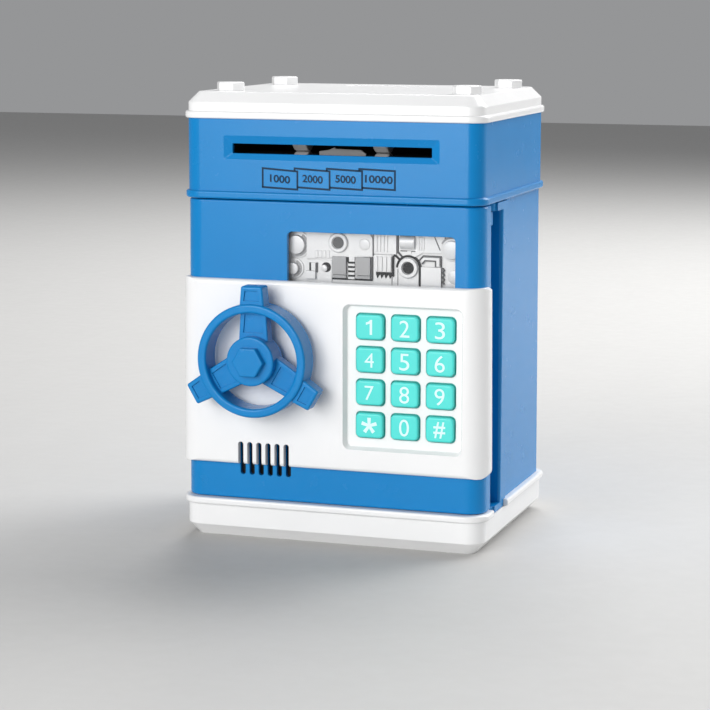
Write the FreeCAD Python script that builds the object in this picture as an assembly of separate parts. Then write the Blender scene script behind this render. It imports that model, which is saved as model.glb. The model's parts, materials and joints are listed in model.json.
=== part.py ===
import FreeCAD, Part
import math
import os

os.makedirs("parts", exist_ok=True)

# Toy cash machine savings bank. Millimetres. The origin is the centre of the base's underside,
# +X is to the right as a user faces the bank, +Y to the back and +Z up.

V = FreeCAD.Vector
X_AXIS = V(1, 0, 0)
Y_AXIS = V(0, 1, 0)
Z_AXIS = V(0, 0, 1)

# ---------------------------------------------------------------- driving dimensions
CASE_X = 64.0            # half width of the upper case
CASE_Y = 51.0            # half depth of the upper case
CASE_R = 7.0             # upright corner radius
WALL = 2.2               # upper case and top cover wall
LOWER_X = 63.5           # half width of the lower case at its top
LOWER_FOOT_X = 64.2      # and at its foot
LOWER_BACK = 50.4
LOWER_WALL = 2.0
LOWER_FRONT = -37.1      # front edge of the left side wall

BASE_X = 65.4
BASE_Y = 51.6
BASE_TOP = 16.8
BASE_SKIN = 2.0
BASE_CHAMFER = 4.5       # how far the bottom edge is cut in
BASE_CHAMFER_Z = 5.0
RIM_X = 66.8
RIM_Y = 53.2
RIM_LOW = 13.9

FLOOR_TOP = 18.4         # cash chamber floor
LOWER_TOP = 143.1        # seam between lower and upper case
RIDGE_OUT = 1.2
RIDGE_TOP = 146.2
CEILING_TOP = 145.1
UPPER_TOP = 176.0

LIP_TOP = 178.9
LIP_OUT = 1.3
COVER_EDGE = 182.5       # where the top cover's chamfer starts
COVER_TOP = 186.8
COVER_INSET = 4.0
STUDS = [(x, y) for x in (-49.6, 52.7) for y in (-34.0, 31.0)]
STUD_ACROSS_CORNERS = 12.3
STUD_HEIGHT = 3.5

SLOT_X = 42.8            # note slot throat, half width
SLOT_LOW = 161.8
SLOT_HIGH = 165.85
BEZEL_X = 46.3
BEZEL_LOW = 159.3
BEZEL_HIGH = 169.1
BEZEL_DEPTH = 1.3
COIN_X = 18.0            # coin slot, half length
COIN_Y0 = 28.0
COIN_Y1 = 33.0

DOOR_X = 64.2            # half width of the door at its top
DOOR_FOOT_X = 65.1       # and at its foot
DOOR_FRONT = -50.0
DOOR_BACK = -37.6
DOOR_LOW = 17.0
DOOR_HIGH = 142.6
DOOR_R = 7.5
DOOR_SKIN = 2.0
HINGE_X = 60.0
HINGE_Y = -30.0
EAR_R = 2.8
EAR_TALL = 5.4
PIN_R = 1.5
RUNNING = 0.05           # radial clearance of every running fit
KNUCKLE_R = 4.2
KNUCKLE_TALL = 3.2
POST_X0 = 58.5
POST_X1 = 65.0
POST_FRONT = -22.0
POST_BACK = -13.0
POST_LOW = 14.0

FASCIA_X = 66.3          # half width of the fascia at its top
FASCIA_FOOT_X = 67.1     # and at its foot
FASCIA_FRONT = -52.6
FASCIA_BACK = -42.5
FASCIA_LOW = 32.1
FASCIA_HIGH = 110.0
FASCIA_R = 9.5

WINDOW_X0 = -18.9
WINDOW_X1 = 52.9
WINDOW_LOW = 107.0
WINDOW_HIGH = 130.3

KEYPAD_X0 = 6.1
KEYPAD_X1 = 57.0
KEYPAD_LOW = 41.4
KEYPAD_HIGH = 101.7
KEYPAD_FLOOR = -49.6
KEYPAD_SKIN = 1.5
KEY_W = 11.7
KEY_H = 10.2
KEY_GAP = 0.55           # between a key and its hole
KEY_PITCH_X = 15.0
KEY_PITCH_Z = 13.6
KEY_CENTRE_X = 32.2
KEY_CENTRE_Z = 72.1
KEY_FRONT = -51.6
KEY_TRAVEL = 1.2
KEY_NAMES = [["star", "0", "hash"], ["7", "8", "9"], ["4", "5", "6"], ["1", "2", "3"]]

PANE_FRONT = -48.0       # layers inside the door, front to back
PANE_BACK = -46.8
RELIEF_FACE = -44.6
MEMBRANE_FRONT = -43.3
BOARD_FRONT = -42.3
BOARD_BACK = -40.7
INNER_FRONT = -39.3
INNER_BACK = -37.8
SKIN_CUT = (-52.0, -47.0)  # depths between which a cutter goes through the door's front

WHEEL_X = -28.8
WHEEL_Z = 78.3
RING_R = 23.5
RING_BORE = 19.85
RING_FRONT = -67.1
RING_BACK = -55.6
HUB_R = 10.2
HUB_FRONT = -68.1
BOSS_FRONT = -71.1
BOSS_FLATS = 11.7
LUG_R = 30.7
SPOKE_FRONT = -63.8
SPOKE_BACK = -58.3
LUG_FRONT = -65.8
SHAFT_R = 4.0

FASCIA_PEGS = [(-57, 38), (-57, 104), (0, 103.5), (0, 38)]
VENT_COUNT = 6
VENT_PITCH = 4.04
VENT_W = 2.3
VENT_LOW = 27.3
VENT_HIGH = 41.7

ARM_FRONT = -33.3
ARM_BACK = -30.4
ARM_REACH = 31.0
ARM_W = 8.0
LOCK_X = -50.0
LOCK_Z = 71.2
LOCK_R = 2.4

SIDE_PLATE_X0 = 43.5
SIDE_PLATE_X1 = 45.5
DRIVE_Y = -34.0
DRIVE_Z = 156.3
DRIVE_R = 5.8
DRIVE_SHAFT_R = 2.0
PINCH_Z = 168.6
PINCH_R = 6.2
PINCH_SHAFT_R = 1.5
ROLLER_X = 17.5
ROLLER_W = 6.2
GEAR_MODULE = 0.6
GEAR_TEETH = 30
PINION_TEETH = 10
IDLER_Y = -22.2
IDLER_Z = 158.5
MOTOR_Y = -11.75
MOTOR_Z = 152.6
IDLER_PEG_R = 1.25
MOTOR_SHAFT_R = 1.0
LEVER_Y = -38.0
LEVER_Z = 157.6
LEVER_X0 = -8.8
LEVER_X1 = 11.3

SCREW_R = 1.2            # thread radius of the case screws
SCREW_HEAD_R = 2.8
COVER_HEAD_R = 2.1       # head of the battery cover's screw
COVER_SCREW_X = -14.0
BASE_SCREWS = [(x, y) for x in (-50, 50) for y in (-28, 42)]
CASE_SCREWS = [(-58, 44), (58, 44), (-58, -18), (58, 8)]
COVER_SCREWS = [(x, y) for x in (-58, 58) for y in (-31, 31)]
FRAME_FEET = [(x, y) for x in (-49, 49) for y in (-43, -5)]
DEFLECTOR_FEET = [(-35, 25), (35, 25)]
CHUTE_FEET = [(-24, 30.5), (24, 30.5)]
TRANSPORT_SCREWS = FRAME_FEET + DEFLECTOR_FEET + CHUTE_FEET
FOOT_TALL = 1.8
INNER_SCREWS = [(-57.8, 24.5), (-57.8, 98.0), (-57.8, 135.5), (50.0, 25.0), (50.0, 136.9)]

CELL_R = 7.1
CELL_BODY = 49.5
CELL_NUB = 1.0
CELL_PITCH = 15.0
CELL_Z = 9.4
BAY_X0 = -28.7           # battery bay, inside its walls
BAY_X1 = 26.4
BAY_Y0 = 2.0
BAY_Y1 = 48.0
BAY_WALL = 1.5
CELL_X0 = BAY_X0 + 3.7   # flat end of each cell


# ---------------------------------------------------------------- shape helpers
def box(x0, x1, y0, y1, z0, z1):
    return Part.makeBox(x1 - x0, y1 - y0, z1 - z0, V(x0, y0, z0))


def rod_x(x0, x1, y, z, radius):
    return Part.makeCylinder(radius, x1 - x0, V(x0, y, z), X_AXIS)


def rod_y(x, y0, y1, z, radius):
    return Part.makeCylinder(radius, y1 - y0, V(x, y0, z), Y_AXIS)


def rod_z(x, y, z0, z1, radius):
    return Part.makeCylinder(radius, z1 - z0, V(x, y, z0), Z_AXIS)


def rounded_wire(u0, u1, v0, v1, radius, place):
    """Closed outline of a rounded rectangle; place(u, v) turns each point into space."""
    inset = radius * (1 - math.sqrt(0.5))
    corners = [(u1, v0, -1, 1), (u1, v1, -1, -1), (u0, v1, 1, -1), (u0, v0, 1, 1)]
    edges = []
    last = place(u0 + radius, v0)
    for index, (u, v, du, dv) in enumerate(corners):
        along_u = place(u + du * radius, v)
        along_v = place(u, v + dv * radius)
        middle = place(u + du * inset, v + dv * inset)
        start, end = (along_u, along_v) if index % 2 == 0 else (along_v, along_u)
        edges.append(Part.LineSegment(last, start).toShape())
        edges.append(Part.Arc(start, middle, end).toShape())
        last = end
    return Part.Wire(edges)


def upright(x0, x1, y0, y1, z0, z1, radius):
    """Block whose upright edges are rounded."""
    wire = rounded_wire(x0, x1, y0, y1, radius, lambda u, v: V(u, v, z0))
    return Part.Face(wire).extrude(V(0, 0, z1 - z0))


def centred(half_x, half_y, z0, z1, radius):
    """Block about the origin's upright axis, with its upright edges rounded."""
    return upright(-half_x, half_x, -half_y, half_y, z0, z1, radius)


def facing(x0, x1, z0, z1, y0, y1, radius):
    """Block whose edges running front to back are rounded."""
    wire = rounded_wire(x0, x1, z0, z1, radius, lambda u, v: V(u, y0, v))
    return Part.Face(wire).extrude(V(0, y1 - y0, 0))


def sideways(y0, y1, z0, z1, x0, x1, radius):
    """Block whose edges running left to right are rounded."""
    wire = rounded_wire(y0, y1, z0, z1, radius, lambda u, v: V(x0, u, v))
    return Part.Face(wire).extrude(V(x1 - x0, 0, 0))


def taper_up(half_x0, half_y0, r0, z0, half_x1, half_y1, r1, z1):
    """Centred rounded block that changes size from z0 to z1."""
    low = rounded_wire(-half_x0, half_x0, -half_y0, half_y0, r0, lambda u, v: V(u, v, z0))
    high = rounded_wire(-half_x1, half_x1, -half_y1, half_y1, r1, lambda u, v: V(u, v, z1))
    return Part.makeLoft([low, high], True, True)


def taper_back(front, y0, back, y1):
    """Rounded opening that changes from front to back; each end is (x0, x1, z0, z1, radius)."""
    first = rounded_wire(*front, lambda u, v: V(u, y0, v))
    second = rounded_wire(*back, lambda u, v: V(u, y1, v))
    return Part.makeLoft([first, second], True, True)


def joined(shapes):
    return shapes[0].multiFuse(shapes[1:]).removeSplitter()


def pierced(shape, cutters):
    return shape.cut(Part.makeCompound(cutters))


def softened(shape, radius, wanted):
    """Round every edge for which wanted(edge) holds."""
    return shape.makeFillet(radius, [edge for edge in shape.Edges if wanted(edge)])


def level_edge(edge, z):
    """True for an edge that lies in the level plane at height z."""
    return abs(edge.BoundBox.ZMin - z) < 1e-4 and abs(edge.BoundBox.ZMax - z) < 1e-4


def front_edge(edge, y):
    """True for an edge that lies in the upright plane at depth y."""
    return abs(edge.BoundBox.YMin - y) < 1e-4 and abs(edge.BoundBox.YMax - y) < 1e-4


def save(name, *shapes):
    """Write one node; several separate solids go in as one compound."""
    solids = [solid for shape in shapes for solid in shape.Solids]
    node = solids[0] if len(solids) == 1 else Part.makeCompound(solids)
    node.exportStep("parts/%s.step" % name)
    print(name, len(solids), "solid(s)", round(node.Volume / 1000, 2), "cm3", node.isValid())


def screw(x, y, seat, tip, head_r=SCREW_HEAD_R, head_tall=2.0, thread_r=SCREW_R):
    """Upright cross-head screw: its head rests against seat and its thread ends at tip."""
    way = 1 if tip > seat else -1
    crown = seat - way * head_tall
    depth = crown + way * head_tall * 0.45
    head = rod_z(x, y, min(seat, crown), max(seat, crown), head_r)
    thread = rod_z(x, y, min(seat, tip), max(seat, tip), thread_r)
    reach = head_r * 0.68
    low, high = min(crown - way, depth), max(crown - way, depth)
    cross = [box(x - reach, x + reach, y - 0.35, y + 0.35, low, high)]
    cross.append(box(x - 0.35, x + 0.35, y - reach, y + reach, low, high))
    return pierced(joined([head, thread]), cross)


def gear(teeth, x0, x1, y, z, bore, phase):
    """Spur gear on an axis along X, with involute flanks; phase turns it, in degrees."""
    pitch_r = GEAR_MODULE * teeth / 2
    base_r = pitch_r * math.cos(math.radians(20))
    root_r = pitch_r - 1.15 * GEAR_MODULE
    tip_r = pitch_r + 0.85 * GEAR_MODULE
    backlash = 0.05 / pitch_r
    half_at_base = math.pi / (2 * teeth) + math.tan(math.radians(20)) - math.radians(20) - backlash
    points = []
    for tooth in range(teeth):
        middle = 2 * math.pi * tooth / teeth + math.radians(phase)
        flank = [(root_r, min(half_at_base, math.pi / teeth * 0.85))]
        for step in range(4):
            radius = base_r + (tip_r - base_r) * step / 3
            if radius > root_r:
                pressure = math.acos(base_r / radius)
                flank.append((radius, half_at_base - (math.tan(pressure) - pressure)))
        sides = [(r, -half) for r, half in flank] + [(r, half) for r, half in reversed(flank)]
        for radius, offset in sides:
            angle = middle + offset
            points.append(V(x0, y + radius * math.cos(angle), z + radius * math.sin(angle)))
    blank = Part.Face(Part.makePolygon(points + points[:1])).extrude(V(x1 - x0, 0, 0))
    return blank.cut(rod_x(x0 - 1, x1 + 1, y, z, bore))


# ---------------------------------------------------------------- base
def base_tray():
    foot = taper_up(BASE_X - BASE_CHAMFER, BASE_Y - BASE_CHAMFER, CASE_R - 3.5, 0,
                    BASE_X, BASE_Y, CASE_R + 0.6, BASE_CHAMFER_Z)
    wall = upright(-BASE_X, BASE_X, -BASE_Y, BASE_Y, BASE_CHAMFER_Z, BASE_TOP, CASE_R + 0.6)
    rim = upright(-RIM_X, RIM_X, -RIM_Y, RIM_Y, RIM_LOW, BASE_TOP, CASE_R + 2.2)
    rim = softened(rim, 0.9, lambda e: level_edge(e, RIM_LOW) or level_edge(e, BASE_TOP))
    body = joined([foot, wall, rim])
    inner_x = BASE_X - BASE_SKIN
    inner_y = BASE_Y - BASE_SKIN
    body = body.cut(taper_up(inner_x - 2.7, inner_y - 2.7, 3.0, BASE_SKIN,
                             inner_x, inner_y, CASE_R - 1.4, BASE_CHAMFER_Z))
    body = body.cut(upright(-inner_x, inner_x, -inner_y, inner_y, BASE_CHAMFER_Z,
                            BASE_TOP - BASE_SKIN, CASE_R - 1.4))
    body = body.cut(upright(-inner_x, inner_x, LOWER_FRONT - 0.4, inner_y, BASE_CHAMFER_Z,
                            BASE_TOP + 1, 4.0))
    bay = box(BAY_X0 - BAY_WALL, BAY_X1 + BAY_WALL, BAY_Y0 - BAY_WALL, BAY_Y1 + BAY_WALL,
              BASE_SKIN, BASE_TOP)
    bosses = [rod_z(x, y, BASE_SKIN - 1, 9.0, 4.5) for x, y in BASE_SCREWS]
    bosses.append(rod_z(COVER_SCREW_X, BAY_Y0 - 2.6, BASE_SKIN, 10.0, 2.6))
    body = joined([body, bay] + bosses)
    cutters = [box(BAY_X0, BAY_X1, BAY_Y0, BAY_Y1, -1, BASE_TOP + 1)]
    cutters.append(box(COVER_SCREW_X - 6.4, COVER_SCREW_X + 6.4, BAY_Y0 - 5.6, BAY_Y0 + 0.1, -1, BASE_SKIN))
    cutters.append(rod_z(COVER_SCREW_X, BAY_Y0 - 2.6, BASE_SKIN - 0.1, 9.0, SCREW_R + RUNNING))
    cutters.append(box(55, 67, -37.2, -15.6, RIM_LOW, BASE_TOP + 1))
    for x, y in BASE_SCREWS:
        cutters.append(rod_z(x, y, -1, 7.0, SCREW_HEAD_R + 0.4))
        cutters.append(rod_z(x, y, 6.9, 9.1, SCREW_R + 0.3))
    return pierced(body, cutters)


def battery_cover():
    gap = 0.4
    plate = box(BAY_X0 + gap, BAY_X1 - gap, BAY_Y0 + gap, BAY_Y1 - gap, 0.1, 1.9)
    ear = box(COVER_SCREW_X - 6, COVER_SCREW_X + 6, BAY_Y0 - 5.2, BAY_Y0 + gap, 0.1, 1.9)
    tabs = [box(x - 5, x + 5, BAY_Y1 - 2.4, BAY_Y1 - gap, 1.8, 3.6) for x in (-17, 15)]
    grooves = [box(-14, 12, y, y + 1.2, 0, 0.5) for y in (36, 39, 42)]
    cover = pierced(joined([plate, ear] + tabs), grooves)
    hole = rod_z(COVER_SCREW_X, BAY_Y0 - 2.6, -1, 3, SCREW_R + 0.3)
    sink = rod_z(COVER_SCREW_X, BAY_Y0 - 2.6, -1, 1.2, COVER_HEAD_R + 0.2)
    return cover.cut(hole).cut(sink)


def cell_rows():
    middle = (BAY_Y0 + BAY_Y1) / 2
    return [middle + CELL_PITCH * step for step in (-1, 0, 1)]


def batteries():
    cells = []
    for y in cell_rows():
        body = rod_x(CELL_X0, CELL_X0 + CELL_BODY, y, CELL_Z, CELL_R)
        nub = rod_x(CELL_X0 + CELL_BODY, CELL_X0 + CELL_BODY + CELL_NUB, y, CELL_Z, 2.7)
        cells.append(joined([body, nub]))
    return cells


def battery_contacts():
    plates = [box(BAY_X0, BAY_X0 + 0.5, BAY_Y0 + 0.5, BAY_Y1 - 0.5, 3.8, 15.5)]
    plus_x = CELL_X0 + CELL_BODY + CELL_NUB
    for y in cell_rows():
        plates.append(box(plus_x, BAY_X1, y - 4.5, y + 4.5, 4.2, 14.5))
    return plates


def battery_springs():
    """Conical contact springs beside the left contact strip, closed up by the cells: a cone of rings."""
    springs = []
    wide, narrow, tall = 4.3, 1.9, 2.6
    x0 = BAY_X0 + 0.5
    for y in cell_rows():
        base = V(x0 + 0.3, y, CELL_Z)
        cone = Part.makeCone(wide, narrow, tall, base, X_AXIS)
        cone = cone.cut(Part.makeCone(wide - 0.4, narrow - 0.4, tall, base, X_AXIS))
        rings = []
        for turn in range(4):
            share = turn / 3
            middle = V(x0 + 0.4 + (tall - 0.2) * share, y, CELL_Z)
            rings.append(Part.makeTorus(wide - 0.2 - (wide - narrow) * share, 0.38, middle, X_AXIS))
        springs.append(joined([cone] + rings))
    return springs


# ---------------------------------------------------------------- lower case
def knuckle(z0, z1):
    nose = rod_z(HINGE_X, HINGE_Y, z0, z1, KNUCKLE_R)
    return joined([nose, box(HINGE_X - KNUCKLE_R, POST_X1, HINGE_Y, POST_BACK, z0, z1)])


def lower_case():
    shell = taper_up(LOWER_FOOT_X, LOWER_BACK, CASE_R, BASE_TOP, LOWER_X, LOWER_BACK, CASE_R, LOWER_TOP)
    shell = shell.common(box(-90, 90, LOWER_FRONT, 90, 0, 200))
    inner = LOWER_X - LOWER_WALL
    shell = shell.cut(upright(-inner, inner, -90, LOWER_BACK - LOWER_WALL, FLOOR_TOP, 200,
                              CASE_R - LOWER_WALL))
    shell = shell.cut(box(56.0, 80, -60, POST_FRONT, 0, 200))
    post = upright(POST_X0, POST_X1, POST_FRONT, POST_BACK + 4, POST_LOW, LOWER_TOP - 0.3, 1.6)
    post = post.cut(box(LOWER_X, 70, POST_BACK, 0, BASE_TOP, 200))
    post = post.cut(box(0, 70, POST_BACK - 2.6, 0, 0, BASE_TOP))
    flange = box(54.6, 56.0, -36.9, POST_FRONT + 1.5, FLOOR_TOP - 1, LOWER_TOP)
    web = box(54.6, 61.5, POST_FRONT, POST_FRONT + 1.5, FLOOR_TOP - 1, LOWER_TOP - 0.3)
    low = knuckle(POST_LOW, DOOR_LOW - 0.3).cut(box(0, 70, POST_BACK - 2.6, 0, 0, BASE_TOP))
    high = knuckle(LOWER_TOP - 0.3 - KNUCKLE_TALL, LOWER_TOP - 0.3)
    strike = box(-inner - 0.5, -55.5, -36.8, -34.2, 70.0, 86.6)
    gusset = Part.makePolygon([V(-inner - 0.5, -34.3, 78.3), V(-56.5, -34.3, 78.3),
                               V(-inner - 0.5, -27.0, 78.3), V(-inner - 0.5, -34.3, 78.3)])
    pieces = [shell, post, flange, web, low, high, strike]
    for z in (72.0, 83.2):
        web_plate = Part.Face(gusset).extrude(V(0, 0, 1.4))
        web_plate.translate(V(0, 0, z - 78.3))
        pieces.append(web_plate.common(box(-70, -59.5, -40, 0, 0, 200)))
    pieces += [rod_z(x, y, 9.0, BASE_TOP + 0.5, 4.0) for x, y in BASE_SCREWS]
    pieces += [rod_z(x, y, 131.0, LOWER_TOP, 4.0) for x, y in CASE_SCREWS]
    body = joined(pieces)
    cutters = [rod_z(x, y, 8.0, 15.5, SCREW_R + RUNNING) for x, y in BASE_SCREWS]
    cutters += [rod_z(x, y, 132.0, 150, SCREW_R + RUNNING) for x, y in CASE_SCREWS]
    cutters.append(rod_z(HINGE_X, HINGE_Y, POST_LOW + 0.4, 18, PIN_R + 0.02))
    cutters.append(rod_z(HINGE_X, HINGE_Y, 136, LOWER_TOP - 0.7, PIN_R + 0.02))
    return pierced(body, cutters)


def hinge_pins():
    low = rod_z(HINGE_X, HINGE_Y, POST_LOW + 0.4, DOOR_LOW + EAR_TALL - 0.3, PIN_R)
    top = LOWER_TOP - 0.3 - KNUCKLE_TALL - 0.4
    high = rod_z(HINGE_X, HINGE_Y, top - EAR_TALL + 0.3, LOWER_TOP - 0.7, PIN_R)
    return [low, high]


# ---------------------------------------------------------------- upper case and top
def upper_case():
    wall = upright(-CASE_X, CASE_X, -CASE_Y, CASE_Y, LOWER_TOP, UPPER_TOP, CASE_R)
    ridge = upright(-CASE_X - RIDGE_OUT, CASE_X + RIDGE_OUT, -CASE_Y - RIDGE_OUT, CASE_Y + RIDGE_OUT,
                    LOWER_TOP, RIDGE_TOP, CASE_R + RIDGE_OUT)
    ridge = softened(ridge, 0.8, lambda e: level_edge(e, LOWER_TOP) or level_edge(e, RIDGE_TOP))
    body = joined([wall, ridge])
    body = body.cut(upright(-CASE_X + WALL, CASE_X - WALL, -CASE_Y + WALL, CASE_Y - WALL,
                            100, 200, CASE_R - WALL))
    pad = box(-BEZEL_X - 2, BEZEL_X + 2, -CASE_Y + 1, -CASE_Y + 3.2, BEZEL_LOW - 2, BEZEL_HIGH + 2)
    pieces = [body, pad]
    pieces += [rod_z(x, y, CEILING_TOP, 152.0, 4.0) for x, y in CASE_SCREWS]
    for x, y in COVER_SCREWS:
        reach = 62.5 if x > 0 else -62.5
        pieces.append(box(min(x - 4, reach), max(x + 4, reach), y - 5, y + 5, 171.0, 173.0))
    body = joined(pieces)
    funnel = taper_back((-BEZEL_X, BEZEL_X, BEZEL_LOW, BEZEL_HIGH, 0.6), -CASE_Y,
                        (-SLOT_X, SLOT_X, SLOT_LOW, SLOT_HIGH, 0.4), -CASE_Y + BEZEL_DEPTH)
    throat = facing(-SLOT_X, SLOT_X, SLOT_LOW, SLOT_HIGH, -CASE_Y + 1, -CASE_Y + 6, 0.4)
    cutters = [funnel, throat]
    cutters += [rod_z(x, y, 140, 153, SCREW_R + 0.3) for x, y in CASE_SCREWS]
    cutters += [rod_z(x, y, 170, 174, SCREW_R + 0.3) for x, y in COVER_SCREWS]
    return pierced(body, cutters)


def chamber_ceiling():
    plate = upright(-CASE_X + WALL + 0.2, CASE_X - WALL - 0.2, -CASE_Y + WALL + 0.2,
                    CASE_Y - WALL - 0.2, LOWER_TOP, CEILING_TOP, CASE_R - WALL)
    cutters = [box(-44, 44, 2, 20, 140, 150)]
    cutters.append(box(-COIN_X - 1, COIN_X + 1, COIN_Y0, COIN_Y1, 140, 150))
    cutters += [rod_z(x, y, 140, 150, SCREW_R + 0.3) for x, y in CASE_SCREWS]
    cutters += [rod_z(x, y, 140, 150, 1.0) for x, y in TRANSPORT_SCREWS]
    return pierced(plate, cutters)


def top_cover():
    lip = upright(-CASE_X - LIP_OUT, CASE_X + LIP_OUT, -CASE_Y - LIP_OUT, CASE_Y + LIP_OUT,
                  UPPER_TOP, LIP_TOP, CASE_R + LIP_OUT)
    lip = softened(lip, 0.8, lambda e: level_edge(e, UPPER_TOP) or level_edge(e, LIP_TOP))
    wall = upright(-CASE_X, CASE_X, -CASE_Y, CASE_Y, UPPER_TOP, COVER_EDGE, CASE_R)
    slope = taper_up(CASE_X, CASE_Y, CASE_R, COVER_EDGE,
                     CASE_X - COVER_INSET, CASE_Y - COVER_INSET, CASE_R - 2.5, COVER_TOP)
    body = joined([lip, wall, slope])
    body = softened(body, 0.7, lambda e: level_edge(e, COVER_TOP) or level_edge(e, COVER_EDGE))
    body = body.cut(upright(-CASE_X + WALL, CASE_X - WALL, -CASE_Y + WALL, CASE_Y - WALL,
                            170, COVER_EDGE - 0.6, CASE_R - WALL))
    body = body.cut(upright(-CASE_X + 6.2, CASE_X - 6.2, -CASE_Y + 6.2, CASE_Y - 6.2,
                            180, COVER_TOP - WALL, 3.0))
    plug = centred(CASE_X - WALL - 0.2, CASE_Y - WALL - 0.2, 173.4, UPPER_TOP + 0.5, CASE_R - WALL)
    bridge = centred(CASE_X - WALL, CASE_Y - WALL, UPPER_TOP, UPPER_TOP + 0.5, CASE_R - WALL)
    ring_bore = centred(CASE_X - 4.2, CASE_Y - 4.2, 170, 180, 3.0)
    plug = plug.cut(ring_bore)
    bridge = bridge.cut(ring_bore)
    bosses = [rod_z(x, y, 173.0, COVER_EDGE, 3.4) for x, y in COVER_SCREWS]
    body = joined([body, plug, bridge] + bosses)
    well = taper_up(COIN_X + 2, (COIN_Y1 - COIN_Y0) / 2 + 2, 1.5, COVER_TOP + 0.01,
                    COIN_X, (COIN_Y1 - COIN_Y0) / 2, 0.6, COVER_TOP - 1.5)
    well.translate(V(0, (COIN_Y0 + COIN_Y1) / 2, 0))
    slot = upright(-COIN_X, COIN_X, COIN_Y0, COIN_Y1, 180, 190, 0.6)
    cutters = [well, slot]
    cutters += [rod_z(x, y, 172, 182.0, SCREW_R + RUNNING) for x, y in COVER_SCREWS]
    cutters += [rod_z(x, y, 180, 190, 2.5 + RUNNING) for x, y in STUDS]
    return pierced(body, cutters)


def corner_studs():
    """Four hexagonal caps, each pressed into the cover by a peg."""
    studs = []
    radius = STUD_ACROSS_CORNERS / 2
    for x, y in STUDS:
        corners = [V(x + radius * math.cos(math.radians(60 * k)),
                     y + radius * math.sin(math.radians(60 * k)), COVER_TOP) for k in range(7)]
        head = Part.Face(Part.makePolygon(corners)).extrude(V(0, 0, STUD_HEIGHT))
        head = softened(head, 0.6, lambda e: not level_edge(e, COVER_TOP))
        studs.append(joined([head, rod_z(x, y, COVER_TOP - 2.0, COVER_TOP + 0.5, 2.5)]))
    return studs


def coin_chute():
    tube = box(-COIN_X - 2.5, COIN_X + 2.5, COIN_Y0 - 1.5, COIN_Y1 + 1.5, CEILING_TOP, 184.4)
    flange = box(-27, 27, COIN_Y0 - 1.5, COIN_Y1 + 1.5, CEILING_TOP, CEILING_TOP + FOOT_TALL)
    body = joined([tube, flange])
    cutters = [box(-COIN_X - 1, COIN_X + 1, COIN_Y0, COIN_Y1, 140, 190)]
    cutters += [rod_z(x, 30.5, 140, 150, SCREW_R) for x in (-24, 24)]
    return pierced(body, cutters)


# ---------------------------------------------------------------- note transport
def transport_frame():
    plate = box(-SIDE_PLATE_X0 - 0.5, SIDE_PLATE_X0 + 0.5, -46.5, -24.0, 159.8, 161.3)
    lip = sideways(-46.5, -45.0, 157.5, 161.3, -SIDE_PLATE_X0, SIDE_PLATE_X0, 0.5)
    pieces = [plate, lip]
    for side in (-1, 1):
        x0 = min(side * SIDE_PLATE_X0, side * SIDE_PLATE_X1)
        cheek = box(x0, x0 + 2.0, -46.5, -2.0, CEILING_TOP, 172.0)
        pieces.append(cheek.cut(box(-60, 60, -8, 0, 163, 180)))
    for x, y in FRAME_FEET:
        near = 44.0 if x > 0 else -44.0
        far = 52.0 if x > 0 else -52.0
        pieces.append(box(min(near, far), max(near, far), y - 3, y + 3,
                          CEILING_TOP, CEILING_TOP + FOOT_TALL))
    pieces.append(rod_x(SIDE_PLATE_X0 + 0.5, 57.0, IDLER_Y, IDLER_Z, IDLER_PEG_R))
    lugs = [box(x, x + 1.3, LEVER_Y - 1.8, LEVER_Y + 1.6, LEVER_Z - 1.8, 160.0)
            for x in (LEVER_X0 - 1.6, LEVER_X1 + 0.4)]
    pieces += lugs
    body = joined(pieces)
    cutters = [box(x - ROLLER_W / 2 - 0.7, x + ROLLER_W / 2 + 0.7, DRIVE_Y - 7.6, DRIVE_Y + 7.6, 159, 162)
               for x in (-ROLLER_X, ROLLER_X)]
    cutters.append(box(LEVER_X0 - 0.3, LEVER_X1 + 0.4, -42.0, -33.0, 159, 162))
    cutters.append(rod_x(LEVER_X0 - 3, LEVER_X1 + 3, LEVER_Y, LEVER_Z, 0.9 + RUNNING))
    cutters.append(rod_x(-60, 60, DRIVE_Y, DRIVE_Z, DRIVE_SHAFT_R + RUNNING))
    cutters.append(rod_x(-60, 60, DRIVE_Y, PINCH_Z, PINCH_SHAFT_R + RUNNING))
    cutters.append(rod_x(40, 60, MOTOR_Y, MOTOR_Z, 3.2))
    cutters += [rod_z(x, y, 140, 150, SCREW_R) for x, y in FRAME_FEET]
    return pierced(body, cutters)


def note_guide_upper():
    plate = box(-43.3, 43.3, -46.5, -24.0, SLOT_HIGH, SLOT_HIGH + 0.9)
    cheeks = [box(x, x + 1.5, -46.5, -40.0, SLOT_HIGH, 171.5) for x in (-43.3, 41.8)]
    body = joined([plate] + cheeks)
    cutters = [box(x - ROLLER_W / 2 - 0.7, x + ROLLER_W / 2 + 0.7, DRIVE_Y - PINCH_R - 0.6,
                   DRIVE_Y + PINCH_R + 0.6, 160, 170)
               for x in (-ROLLER_X, ROLLER_X)]
    return pierced(body, cutters)


def note_deflector():
    """Quarter-round guide that turns a note down into the chamber."""
    centre = V(-43.3, 0, 146.0)
    outer = Part.makeCylinder(22.0, 86.6, centre, X_AXIS)
    inner = Part.makeCylinder(20.5, 86.6, centre, X_AXIS)
    arc = outer.cut(inner).common(box(-50, 50, 0, 30, 146.0, 180))
    skirt = box(-43.3, 43.3, 20.5, 22.0, CEILING_TOP, 146.5)
    feet = [box(x - 5, x + 5, 21.5, 28.0, CEILING_TOP, CEILING_TOP + FOOT_TALL) for x, y in DEFLECTOR_FEET]
    body = joined([arc, skirt] + feet)
    return pierced(body, [rod_z(x, y, 140, 150, SCREW_R) for x, y in DEFLECTOR_FEET])


def transport_screws():
    seat = CEILING_TOP + FOOT_TALL
    return [screw(x, y, seat, LOWER_TOP + 0.1, 2.2, 1.5, 0.95) for x, y in TRANSPORT_SCREWS]


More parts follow.
